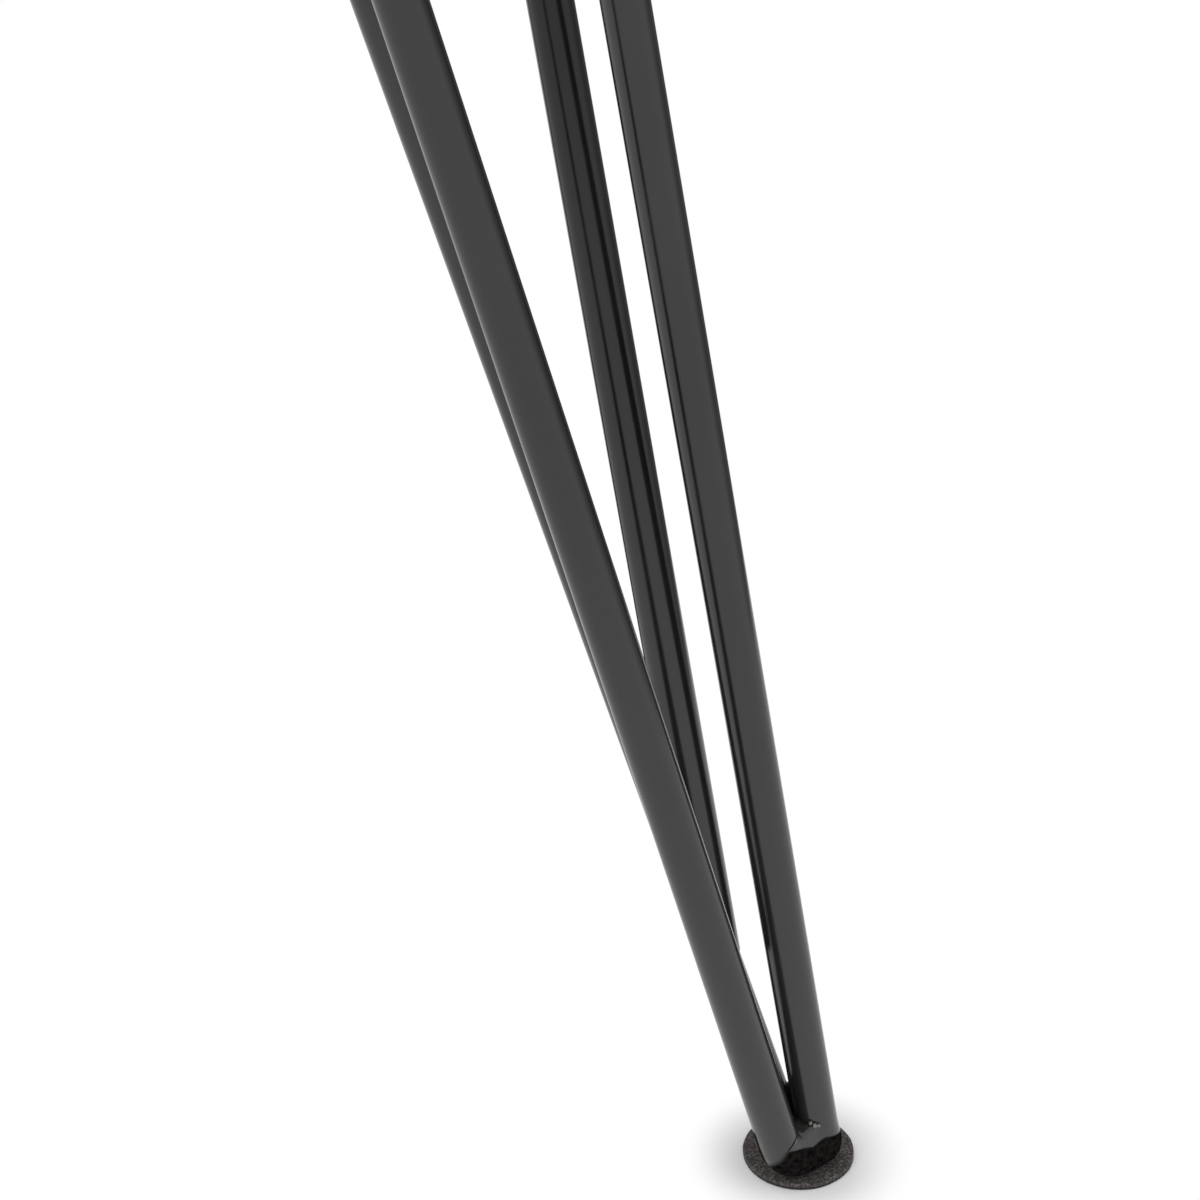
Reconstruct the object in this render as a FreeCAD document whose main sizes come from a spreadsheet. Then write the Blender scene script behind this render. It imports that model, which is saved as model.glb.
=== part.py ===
# Hairpin table leg with four round steel rods, a screw-on plate and a foam foot pad.
# The origin is the middle of the plate's top face, which goes against the table top.
# +Z points up into the table. The foot is at the bottom, out past one side of the plate.
# One rod is bent back on itself into the tight hairpin that stands on the pad. A rear rod
# is welded to the back of that bend, and an inner rod ends in the fork above the foot.

import FreeCAD, Part
import math
import os
import Sketcher
from FreeCAD import Placement, Rotation, Vector

doc = FreeCAD.newDocument("hairpin_table_leg")

# Driving sizes in millimetres and the short note that explains each
sizes = [
    ("leg_height", 400.0, "table top down to the floor"),
    ("rod_diameter", 12.0, "all four rods are the same stock"),
    ("bend_radius", 6.9, "middle of the rod round the hairpin bend"),
    ("plate_length", 115.0, "along the hairpin's plane"),
    ("plate_width", 155.0, "across the hairpin's plane"),
    ("plate_thickness", 5.0, "flat steel"),
    ("plate_corner_radius", 8.0, "rounded corners of the plate"),
    ("plate_edge_break", 0.6, "small chamfer round both faces"),
    ("screw_hole_diameter", 5.5, "clears a wood screw"),
    ("screw_head_diameter", 10.5, "wide end of the countersink"),
    ("screw_edge_distance", 11.0, "hole centre to each edge"),
    ("foot_reach_length", 56.5, "plate centre to bend centre, along"),
    ("foot_reach_width", 96.0, "plate centre to bend centre, across"),
    ("hairpin_end_inset", 22.4, "rod to the plate's short edge"),
    ("hairpin_side_inset", 24.5, "rod to the plate edge next to the foot"),
    ("rear_end_inset", 49.2, "rear rod to the near leg's end of the plate"),
    ("rear_side_inset", 24.5, "rear rod to the plate edge away from the foot"),
    ("inner_end_inset", 20.3, "inner rod to the near leg's end of the plate"),
    ("inner_side_inset", 60.1, "inner rod to the plate edge next to the foot"),
    ("rear_rod_notch", 3.5, "how deep the rear rod is ground to fit the bend"),
    ("rear_rod_lift", 10.4, "middle of the rear rod's end above the pad"),
    ("inner_rod_lift", 65.5, "middle of the inner rod's end above the pad"),
    ("inner_rod_seat", 0.6, "how far the inner rod sits from midway between two rods"),
    ("rod_end_break", 0.7, "ground edge of a cut rod end"),
    ("top_weld_leg", 3.5, "size of the fillet weld under the plate"),
    ("foot_weld_radius", 2.2, "round of the beads beside the rear rod"),
    ("foot_weld_length", 9.0, "run of each bead beside the rear rod"),
    ("fork_weld_reach", 2.6, "half height of the weld inside the bend"),
    ("fork_weld_length", 7.0, "run of that weld from front to back"),
    ("inner_weld_radius", 6.2, "round of the bead under the inner rod"),
    ("inner_weld_depth", 7.0, "how far that bead reaches down into the fork"),
    ("pad_diameter", 32.0, "foam disc under the foot"),
    ("pad_thickness", 2.0, "foam disc, not pressed"),
    ("pad_squash", 0.6, "how far the bend presses into the foam"),
    ("pad_set_back", 6.4, "disc centre behind the bend"),
    ("pad_set_over", 5.1, "disc centre toward the near leg"),
    ("pad_edge_break", 0.4, "soft edge of the disc"),
]
sheet = doc.addObject("Spreadsheet::Sheet", "sizes")
for row, (name, value, note) in enumerate(sizes, start=1):
    sheet.set("A%d" % row, name)
    sheet.set("B%d" % row, str(value))
    sheet.set("C%d" % row, note)
    sheet.setAlias("B%d" % row, name)
doc.recompute()


def size(name):
    return float(sheet.get(name))


def origin_plane(body, role):
    return next(f for f in body.Origin.OriginFeatures if f.Role == role)


def new_body(name):
    return doc.addObject("PartDesign::Body", name)


def new_sketch(body, name, role):
    sketch = body.newObject("Sketcher::SketchObject", name)
    sketch.AttachmentSupport = (origin_plane(body, role), "")
    sketch.MapMode = "FlatFace"
    return sketch


def bind(feature, prop, expression):
    feature.setExpression(prop, expression.replace("$", "sizes."))


def bound_constraint(sketch, constraint, name, expression):
    sketch.addConstraint(constraint)
    number = sketch.ConstraintCount - 1
    sketch.renameConstraint(number, name)
    bind(sketch, "Constraints." + name, expression)


def centred_circle(sketch, radius, expression):
    circle = sketch.addGeometry(Part.Circle(Vector(0, 0, 0), Vector(0, 0, 1), radius), False)
    sketch.addConstraint(Sketcher.Constraint("Coincident", circle, 3, -1, 1))
    bound_constraint(sketch, Sketcher.Constraint("Radius", circle, radius), "radius", expression)


def rounded_edges(shape, test):
    return ["Edge%d" % i for i, edge in enumerate(shape.Edges, start=1) if test(edge)]


# Places that follow from the sizes
rod_radius = size("rod_diameter") / 2
plate_under = -size("plate_thickness")
half_length = size("plate_length") / 2
half_width = size("plate_width") / 2
pad_top = -size("leg_height") + size("pad_thickness")
bend_centre = Vector(
    -size("foot_reach_length"),
    size("foot_reach_width"),
    pad_top - size("pad_squash") + rod_radius + size("bend_radius"),
)

# Where each rod's middle line would come out of the plate's top face
near_aim = Vector(
    -half_length + size("hairpin_end_inset"), half_width - size("hairpin_side_inset"), 0
)
far_aim = Vector(-near_aim.x, near_aim.y, 0)
rear_aim = Vector(
    -half_length + size("rear_end_inset"), -half_width + size("rear_side_inset"), 0
)
inner_aim = Vector(
    -half_length + size("inner_end_inset"), half_width - size("inner_side_inset"), 0
)

# The hairpin's plane leans back from the foot to the line of its two top ends
lean_angle = math.atan2(near_aim.y - bend_centre.y, -bend_centre.z)
lean = Rotation(Vector(1, 0, 0), -math.degrees(lean_angle))
hairpin_place = Placement(bend_centre, lean)
leg_rise = math.hypot(near_aim.y - bend_centre.y, bend_centre.z)


def bend_exit(aim):
    # Angle round the bend at which the rod leaves it to run straight to an aim point
    run = aim.x - bend_centre.x
    swing = math.acos(size("bend_radius") / math.hypot(run, leg_rise))
    if aim is far_aim:
        swing = -swing
    return math.atan2(leg_rise, run) + swing


def leg_line(aim):
    # Straight part of one hairpin leg, from the bend to its aim point
    turn = bend_exit(aim)
    start = Vector(math.cos(turn), 0, math.sin(turn)) * size("bend_radius")
    return hairpin_place.multVec(start), aim


def point_at_height(line, height):
    start, end = line
    share = (height - start.z) / (end.z - start.z)
    return start + (end - start) * share


near_leg = leg_line(near_aim)
far_leg = leg_line(far_aim)

# The rear rod starts against the back of the bend, midway between the two legs
rear_start_height = pad_top + size("rear_rod_lift")
rear_stand_off = size("rod_diameter") - size("rear_rod_notch")
rear_start = Vector(bend_centre.x, bend_centre.y - rear_stand_off, rear_start_height)
rear_line = (rear_start, rear_aim)

# The inner rod starts in the fork, halfway between the far leg and the rear rod
inner_height = pad_top + size("inner_rod_lift")
inner_start = (
    point_at_height(far_leg, inner_height) + point_at_height(rear_line, inner_height)
) * 0.5 - Vector(size("inner_rod_seat"), 0, 0)
inner_line = (inner_start, inner_aim)

# Space that the plate takes, used to end every rod flat against its underside
plate_space = doc.addObject("Part::Box", "plate_space")
bind(plate_space, "Length", "$plate_length * 2")
bind(plate_space, "Width", "$plate_width * 2")
bind(plate_space, "Height", "$plate_thickness + $rod_diameter")
plate_space.Placement = Placement(
    Vector(-size("plate_length"), -size("plate_width"), plate_under), Rotation()
)


def cut_back(label, base, tools):
    # Take one or more solids off a base and give the last cut the piece's name
    result = base
    for number, tool in enumerate(tools, start=1):
        cut = doc.addObject("Part::Cut", "%s_cut_%d" % (label, number))
        cut.Base = result
        cut.Tool = tool
        result = cut
    result.Label = label
    return result


# Hairpin rod: one circle swept from the bottom of the bend up each side
hairpin_body = new_body("hairpin_rod_body")
hairpin_section = new_sketch(hairpin_body, "hairpin_section", "YZ_Plane")
section_circle = hairpin_section.addGeometry(
    Part.Circle(Vector(0, -size("bend_radius"), 0), Vector(0, 0, 1), rod_radius), False
)
hairpin_section.addConstraint(Sketcher.Constraint("PointOnObject", section_circle, 3, -2))
bound_constraint(
    hairpin_section,
    Sketcher.Constraint("DistanceY", section_circle, 3, -1, 1, size("bend_radius")),
    "drop",
    "$bend_radius",
)
bound_constraint(
    hairpin_section,
    Sketcher.Constraint("Radius", section_circle, rod_radius),
    "rod",
    "$rod_diameter / 2",
)


def hairpin_side(name, aim, run):
    # Half of the bend and the straight leg that leaves it at a tangent
    turn = bend_exit(aim)
    radius = size("bend_radius")
    touch = Vector(math.cos(turn), math.sin(turn), 0) * radius
    path = new_sketch(hairpin_body, name, "XZ_Plane")
    circle = Part.Circle(Vector(0, 0, 0), Vector(0, 0, 1), radius)
    bottom = -math.pi / 2 if aim is far_aim else 1.5 * math.pi
    bottom_end, touch_end = (1, 2) if aim is far_aim else (2, 1)
    arc = path.addGeometry(
        Part.ArcOfCircle(circle, min(bottom, turn), max(bottom, turn)), False
    )
    line = path.addGeometry(
        Part.LineSegment(touch, Vector(aim.x - bend_centre.x, leg_rise, 0)), False
    )
    path.addConstraint(Sketcher.Constraint("Coincident", arc, 3, -1, 1))
    path.addConstraint(Sketcher.Constraint("PointOnObject", arc, bottom_end, -2))
    path.addConstraint(Sketcher.Constraint("Tangent", arc, touch_end, line, 1))
    bound_constraint(path, Sketcher.Constraint("Radius", arc, radius), "bend", "$bend_radius")
    bound_constraint(
        path,
        Sketcher.Constraint("DistanceX", -1, 1, line, 2, aim.x - bend_centre.x),
        "run",
        run,
    )
    path.addConstraint(Sketcher.Constraint("DistanceY", -1, 1, line, 2, leg_rise))
    pipe = hairpin_body.newObject("PartDesign::AdditivePipe", name + "_sweep")
    pipe.Profile = hairpin_section
    pipe.Spine = (path, ["Edge1", "Edge2"])
    doc.recompute()


hairpin_side(
    "near_leg_path",
    near_aim,
    "$foot_reach_length - $plate_length / 2 + $hairpin_end_inset",
)
hairpin_side(
    "far_leg_path",
    far_aim,
    "$foot_reach_length + $plate_length / 2 - $hairpin_end_inset",
)
hairpin_body.Placement = hairpin_place
hairpin_rod = cut_back("hairpin_rod", hairpin_body, [plate_space])


def straight_rod(name, line):
    # Round bar from its lower end to past the plate's underside, its lower edge ground off
    start, end = line
    body = new_body(name + "_body")
    section = new_sketch(body, name + "_section", "XY_Plane")
    centred_circle(section, rod_radius, "$rod_diameter / 2")
    bar = body.newObject("PartDesign::Pad", name + "_bar")
    bar.Profile = section
    bar.Length = (end - start).Length
    doc.recompute()
    low_edges = rounded_edges(bar.Shape, lambda e: e.Curve.TypeId == "Part::GeomCircle"
                              and abs(e.CenterOfMass.z) < 0.01)
    break_edge = body.newObject("PartDesign::Chamfer", name + "_end_break")
    break_edge.Base = (bar, low_edges)
    bind(break_edge, "Size", "$rod_end_break")
    quarter_turn = Rotation(Vector(0, 0, 1), -90)
    body.Placement = Placement(start, Rotation(Vector(0, 0, 1), end - start) * quarter_turn)
    doc.recompute()
    return body


# Rear rod: notched so that it sits on the back of the bend
rear_body = straight_rod("rear_rod", rear_line)
rear_rod = cut_back("rear_rod", rear_body, [plate_space, hairpin_rod])

# Inner rod: notched where it meets the far leg and the rear rod
inner_body = straight_rod("inner_rod", inner_line)
inner_rod = cut_back("inner_rod", inner_body, [plate_space, hairpin_rod, rear_rod])

# Mounting plate: rounded rectangle with a countersunk hole at each corner
plate_body = new_body("mounting_plate")
plate_outline = new_sketch(plate_body, "plate_outline", "XY_Plane")
corners = [
    Vector(-half_length, -half_width, 0),
    Vector(half_length, -half_width, 0),
    Vector(half_length, half_width, 0),
    Vector(-half_length, half_width, 0),
]
for i in range(4):
    plate_outline.addGeometry(Part.LineSegment(corners[i], corners[(i + 1) % 4]), False)
for i in range(4):
    plate_outline.addConstraint(Sketcher.Constraint("Coincident", i, 2, (i + 1) % 4, 1))
plate_outline.addConstraint(Sketcher.Constraint("Horizontal", 0))
plate_outline.addConstraint(Sketcher.Constraint("Horizontal", 2))
plate_outline.addConstraint(Sketcher.Constraint("Vertical", 1))
plate_outline.addConstraint(Sketcher.Constraint("Vertical", 3))
plate_outline.addConstraint(Sketcher.Constraint("Symmetric", 0, 1, 1, 2, -1, 1))
bound_constraint(
    plate_outline,
    Sketcher.Constraint("DistanceX", 0, 1, 0, 2, size("plate_length")),
    "length",
    "$plate_length",
)
bound_constraint(
    plate_outline,
    Sketcher.Constraint("DistanceY", 1, 1, 1, 2, size("plate_width")),
    "width",
    "$plate_width",
)
plate_slab = plate_body.newObject("PartDesign::Pad", "plate_slab")
plate_slab.Profile = plate_outline
bind(plate_slab, "Length", "$plate_thickness")
plate_slab.Reversed = True
doc.recompute()

upright_edges = rounded_edges(
    plate_slab.Shape, lambda e: abs(e.Vertexes[0].Z - e.Vertexes[-1].Z) > 0.1
)
plate_corners = plate_body.newObject("PartDesign::Fillet", "plate_corners")
plate_corners.Base = (plate_slab, upright_edges)
bind(plate_corners, "Radius", "$plate_corner_radius")
doc.recompute()

rim_edges = rounded_edges(
    plate_corners.Shape, lambda e: abs(e.Vertexes[0].Z - e.Vertexes[-1].Z) < 0.1
)
plate_rim = plate_body.newObject("PartDesign::Chamfer", "plate_rim")
plate_rim.Base = (plate_corners, rim_edges)
bind(plate_rim, "Size", "$plate_edge_break")
doc.recompute()

hole_x = half_length - size("screw_edge_distance")
hole_y = half_width - size("screw_edge_distance")
hole_layout = new_sketch(plate_body, "screw_hole_layout", "XY_Plane")
for i, (sx, sy) in enumerate([(-1, -1), (1, -1), (1, 1), (-1, 1)]):
    hole = hole_layout.addGeometry(
        Part.Circle(Vector(sx * hole_x, sy * hole_y, 0), Vector(0, 0, 1),
                    size("screw_hole_diameter") / 2),
        False,
    )
    x_points = (-1, 1, hole, 3) if sx > 0 else (hole, 3, -1, 1)
    y_points = (-1, 1, hole, 3) if sy > 0 else (hole, 3, -1, 1)
    bound_constraint(hole_layout, Sketcher.Constraint("DistanceX", *x_points, hole_x),
                     "along_%d" % i, "$plate_length / 2 - $screw_edge_distance")
    bound_constraint(hole_layout, Sketcher.Constraint("DistanceY", *y_points, hole_y),
                     "across_%d" % i, "$plate_width / 2 - $screw_edge_distance")
    bound_constraint(hole_layout,
                     Sketcher.Constraint("Radius", hole, size("screw_hole_diameter") / 2),
                     "hole_%d" % i, "$screw_hole_diameter / 2")
screw_holes = plate_body.newObject("PartDesign::Pocket", "screw_holes")
screw_holes.Profile = hole_layout
screw_holes.Type = "ThroughAll"
screw_holes.Midplane = True
doc.recompute()

# The screws go up from below, so the countersinks are in the underside
sink_edges = rounded_edges(
    screw_holes.Shape,
    lambda e: e.Curve.TypeId == "Part::GeomCircle"
    and abs(e.Curve.Radius - size("screw_hole_diameter") / 2) < 0.01
    and abs(e.CenterOfMass.z - plate_under) < 0.01,
)
countersinks = plate_body.newObject("PartDesign::Chamfer", "countersinks")
countersinks.Base = (screw_holes, sink_edges)
bind(countersinks, "Size", "($screw_head_diameter - $screw_hole_diameter) / 2")
plate_body.Label = "mounting_plate"
doc.recompute()

# Foot pad: soft disc that the bend is pressed into
pad_body = new_body("foot_pad_body")
pad_outline = new_sketch(pad_body, "pad_outline", "XY_Plane")
centred_circle(pad_outline, size("pad_diameter") / 2, "$pad_diameter / 2")
pad_disc = pad_body.newObject("PartDesign::Pad", "pad_disc")
pad_disc.Profile = pad_outline
bind(pad_disc, "Length", "$pad_thickness")
doc.recompute()
pad_edges = rounded_edges(pad_disc.Shape, lambda e: e.Curve.TypeId == "Part::GeomCircle")
pad_soft_edge = pad_body.newObject("PartDesign::Chamfer", "pad_soft_edge")
pad_soft_edge.Base = (pad_disc, pad_edges)
bind(pad_soft_edge, "Size", "$pad_edge_break")
pad_body.Placement = Placement(
    Vector(
        bend_centre.x - size("pad_set_over"),
        bend_centre.y - size("pad_set_back"),
        -size("leg_height"),
    ),
    Rotation(),
)
doc.recompute()
foot_pad = cut_back("foot_pad", pad_body, [hairpin_rod])


def bead(name, shape, metal):
    # Weld metal fills what the pieces round it leave free
    for piece in metal:
        shape = shape.cut(piece.Shape)
    solid = max(shape.Solids, key=lambda s: s.Volume)
    feature = doc.addObject("Part::Feature", name)
    feature.Shape = solid
    feature.Label = name
    return feature


def top_weld(name, line, rod):
    # Fillet weld round a rod where it meets the underside of the plate
    start, end = line
    leg = size("top_weld_leg")
    along = (end - start).normalize()
    root = point_at_height(line, plate_under)
    slope = rod_radius * math.tan(math.acos(along.z))
    low = root - along * (leg + slope)
    height = 2 * (leg + slope)
    cone = Part.makeCone(rod_radius + leg * 0.15, rod_radius + leg * 1.9, height, low, along)
    return bead(name, cone, [plate_space, rod])


top_weld("hairpin_near_weld", near_leg, hairpin_rod)
top_weld("hairpin_far_weld", far_leg, hairpin_rod)
top_weld("rear_rod_top_weld", rear_line, rear_rod)
top_weld("inner_rod_top_weld", inner_line, inner_rod)


def round_bead(name, start, end, radius, metal):
    # Short round run of weld between two points
    along = end - start
    return bead(name, Part.makeCylinder(radius, along.Length, start, along), metal)


def foot_weld(name, leg):
    # Bead in the groove between the rear rod and one leg of the hairpin
    low_z = bend_centre.z
    ends = []
    for z in (low_z, low_z + size("foot_weld_length")):
        on_leg = point_at_height(leg, z)
        on_rear = point_at_height(rear_line, z)
        outward = Vector(0, 0, 1).cross(on_rear - on_leg).normalize()
        if (on_leg - on_rear).x * outward.x < 0:
            outward = outward * -1
        ends.append((on_leg + on_rear) * 0.5 + outward * rod_radius * 0.62)
    round_bead(name, ends[0], ends[1], size("foot_weld_radius"), [hairpin_rod, rear_rod])


foot_weld("foot_weld_near", near_leg)
foot_weld("foot_weld_far", far_leg)

# Weld that fills the inside of the bend, between its two legs and the rear rod
fork_reach = size("fork_weld_reach")
fork_run = size("fork_weld_length")
fork_corner = bend_centre + Vector(-fork_reach, -fork_run / 2, rod_radius * 0.2 - fork_reach)
fork_block = Part.makeBox(2 * fork_reach, fork_run, 2 * fork_reach, fork_corner)
bead("fork_weld", fork_block, [hairpin_rod, rear_rod])

# Bead under the lower end of the inner rod, down in the fork
inner_along = (inner_aim - inner_start).normalize()
round_bead(
    "inner_rod_weld",
    inner_start - inner_along * size("inner_weld_depth"),
    inner_start,
    size("inner_weld_radius"),
    [hairpin_rod, rear_rod, inner_rod],
)

# Every piece in the leg, by the name of its file
pieces = [
    "hairpin_rod",
    "rear_rod",
    "inner_rod",
    "mounting_plate",
    "foot_pad",
    "foot_weld_near",
    "foot_weld_far",
    "fork_weld",
    "inner_rod_weld",
    "hairpin_near_weld",
    "hairpin_far_weld",
    "rear_rod_top_weld",
    "inner_rod_top_weld",
]

doc.recompute()
for feature in doc.Objects:
    if "Invalid" in feature.State or "Error" in feature.State:
        raise RuntimeError("%s did not build: %s" % (feature.Label, feature.State))

os.makedirs("parts", exist_ok=True)
for label in pieces:
    shape = doc.getObjectsByLabel(label)[0].Shape
    if shape.isNull() or not shape.isValid() or len(shape.Solids) != 1:
        raise RuntimeError("%s is not one sound solid" % label)
    shape.exportStep("parts/%s.step" % label)
    box = shape.BoundBox
    print("%-20s %9.1f mm3  z %.1f to %.1f" % (label, shape.Volume, box.ZMin, box.ZMax))
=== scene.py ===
import math

import bmesh
import bpy
from mathutils import Matrix, Vector, noise


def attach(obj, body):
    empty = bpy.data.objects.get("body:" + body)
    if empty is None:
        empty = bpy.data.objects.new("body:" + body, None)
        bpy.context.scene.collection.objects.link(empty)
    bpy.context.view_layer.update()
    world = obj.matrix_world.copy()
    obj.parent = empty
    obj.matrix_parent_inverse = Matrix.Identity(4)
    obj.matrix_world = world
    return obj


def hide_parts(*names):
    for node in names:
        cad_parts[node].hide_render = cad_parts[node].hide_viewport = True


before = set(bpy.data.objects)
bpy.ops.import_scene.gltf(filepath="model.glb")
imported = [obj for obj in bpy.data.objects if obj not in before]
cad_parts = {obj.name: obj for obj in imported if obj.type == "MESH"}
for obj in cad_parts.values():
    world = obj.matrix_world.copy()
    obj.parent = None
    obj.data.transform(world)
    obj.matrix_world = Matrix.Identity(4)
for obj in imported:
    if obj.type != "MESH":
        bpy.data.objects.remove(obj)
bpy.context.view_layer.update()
print("frame loaded:", len(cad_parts), "nodes")

mm = 0.001

# Sizes shared with the CAD leg, in millimetres
legSizes = {
    "padTop": -398.0,
    "plateUnderside": -5.0,
    "rodRadius": 6.0,
    "bendRadius": 6.9,
    "bendCentre": (-56.5, 96.0, -385.7),
    "nearAim": (-35.1, 53.0, 0.0),
    "farAim": (35.1, 53.0, 0.0),
    "rearStart": (-56.5, 87.5, -387.6),
    "rearAim": (-8.3, -53.0, 0.0),
    "innerStart": (-44.31, 78.80, -332.5),
    "innerAim": (-37.2, 17.4, 0.0),
    "endBreak": 0.6,
}


def point(name):
    return Vector(legSizes[name]) * mm


def hexColour(text):
    # sRGB hex to the linear numbers that Blender's sockets hold
    channels = [int(text[i:i + 2], 16) / 255 for i in (0, 2, 4)]
    linear = [c / 12.92 if c <= 0.04045 else ((c + 0.055) / 1.055) ** 2.4 for c in channels]
    return (*linear, 1.0)


def addNode(tree, kind, settings=None, inputs=None, links=None, stops=None):
    # One node with its settings, fixed inputs, ramp stops and the outputs that feed it
    node = tree.nodes.new(kind)
    for key, value in (settings or {}).items():
        setattr(node, key, value)
    for key, value in (inputs or {}).items():
        node.inputs[key].default_value = value
    for key, output in (links or {}).items():
        tree.links.new(output, node.inputs[key])
    if stops:
        band = node.color_ramp
        band.elements[0].position, band.elements[0].color = stops[0]
        band.elements[1].position, band.elements[1].color = stops[-1]
        for position, colour in stops[1:-1]:
            band.elements.new(position).color = colour
    return node


def maths(tree, operation, *terms):
    # Math node whose terms are numbers or the outputs of other nodes
    node = addNode(tree, "ShaderNodeMath", {"operation": operation})
    for i, term in enumerate(terms):
        if isinstance(term, (int, float)):
            node.inputs[i].default_value = term
        else:
            tree.links.new(term, node.inputs[i])
    return node.outputs["Value"]


def dotWith(tree, axis, vector):
    return addNode(tree, "ShaderNodeVectorMath", {"operation": "DOT_PRODUCT"},
                   {1: tuple(axis)}, {0: vector}).outputs["Value"]


def rescale(tree, value, fromRange, toRange=(0.0, 1.0), smooth=False):
    # Carry a value over from one range to another, held at both ends
    return addNode(tree, "ShaderNodeMapRange",
                   {"interpolation_type": "SMOOTHSTEP" if smooth else "LINEAR"},
                   {"From Min": fromRange[0], "From Max": fromRange[1],
                    "To Min": toRange[0], "To Max": toRange[1]},
                   {"Value": value}).outputs["Result"]


def grainNoise(tree, place, width, detail, roughness=0.5):
    # Noise whose grains are about this many millimetres wide
    return addNode(tree, "ShaderNodeTexNoise",
                   inputs={"Scale": 1 / (width * mm), "Detail": detail, "Roughness": roughness},
                   links={"Vector": place}).outputs["Fac"]


def mixShaders(tree, share, first, second):
    return addNode(tree, "ShaderNodeMixShader",
                   links={0: share, 1: first, 2: second}).outputs["Shader"]


def newMaterial(name):
    material = bpy.data.materials.new(name)
    material.use_nodes = True
    material.node_tree.nodes.clear()
    return material, material.node_tree


def meshPiece(name, verts, faces, material, node, sharpAngle=40):
    mesh = bpy.data.meshes.new(name)
    mesh.from_pydata([tuple(v) for v in verts], [], faces)
    mesh.validate()
    bm = bmesh.new()
    bm.from_mesh(mesh)
    bmesh.ops.recalc_face_normals(bm, faces=bm.faces)
    bm.to_mesh(mesh)
    bm.free()
    mesh.materials.append(material)
    piece = bpy.data.objects.new(name, mesh)
    bpy.context.scene.collection.objects.link(piece)
    for polygon in mesh.polygons:
        polygon.use_smooth = True
    mesh.set_sharp_from_angle(angle=math.radians(sharpAngle))
    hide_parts(node)
    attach(piece, "root")
    return piece


# The hairpin's plane: across between its legs, up it, and out of it towards the front
radius = legSizes["rodRadius"] * mm
bendRadius = legSizes["bendRadius"] * mm
plateUnderside = legSizes["plateUnderside"] * mm
bendCentre = point("bendCentre")
leanRun = point("nearAim").y - bendCentre.y
leanAngle = math.atan2(leanRun, -bendCentre.z)
planeUp = Vector((0, math.sin(leanAngle), math.cos(leanAngle)))
planeAcross = Vector((1, 0, 0))
planeNormal = planeUp.cross(planeAcross)
legRise = math.hypot(leanRun, bendCentre.z)

# Powder coat on steel: a thermoset resin film, baked on. It gives a deep black body under a
# satin gloss with a very fine orange peel, and rims that pick up the pale surroundings.
powderCoatLook = {
    "body": "141414",
    "bodyThin": "1b1b1a",
    "roughness": 0.17,
    "roughnessWorn": 0.25,
    "ior": 1.58,
    "orangePeelWidth": 1.6,
    "orangePeelHeight": 0.010,
    "cloudWidth": 38.0,
    "cloudRange": (0.35, 0.75),
    "paintedFloorLight": "292827",
    "paintedFloorLightHeights": (-185.0, -385.0),
}

# Painted shade marks low on the bend, in millimetres from its centre: along the hairpin's plane,
# up it and out of it. A nearly black patch of painted shade lies under the near leg, and a thin
# rim of painted dark reflection of the pad behind the far leg's side of the bend. A fold runs
# down to the patch.
bendPaintedShade = {
    "paintedShadeBody": "211f1e",
    "paintedShadeDark": "0a0a0a",
    "paintedShadeGrain": (0.32, 0.68),
    "paintedShadeRoughness": 0.5,
    "paintedShadeSpecular": 0.0,
    "paintedShadeDip": (-1.0, -3.2),
    "paintedShadeSlope": 0.31,
    "paintedShadeLevel": -5.25,
    "paintedShadeFall": 0.21,
    "paintedShadeEdge": (-0.25, 0.45),
    "paintedShadeFront": (0.0, 1.5),
    "paintedShadeSide": 8.2,
    "paintedShadeSideSlope": 0.72,
    "paintedShadeSideBlur": 1.3,
    "rimDepth": (0.4, -0.9),
    "rimTurn": 0.14,
    "rimHeight": (6.0, 4.0),
    "rimSide": (-1.0, 1.0),
    "foldFrom": (3.4, 2.8),
    "foldTo": (8.2, -0.1),
    "foldWidth": (0.38, 0.05),
    "foldDepth": 0.22,
}


def bendPlace(across, rise, out):
    return bendCentre + (planeAcross * across + planeUp * rise + planeNormal * out) * mm


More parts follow.
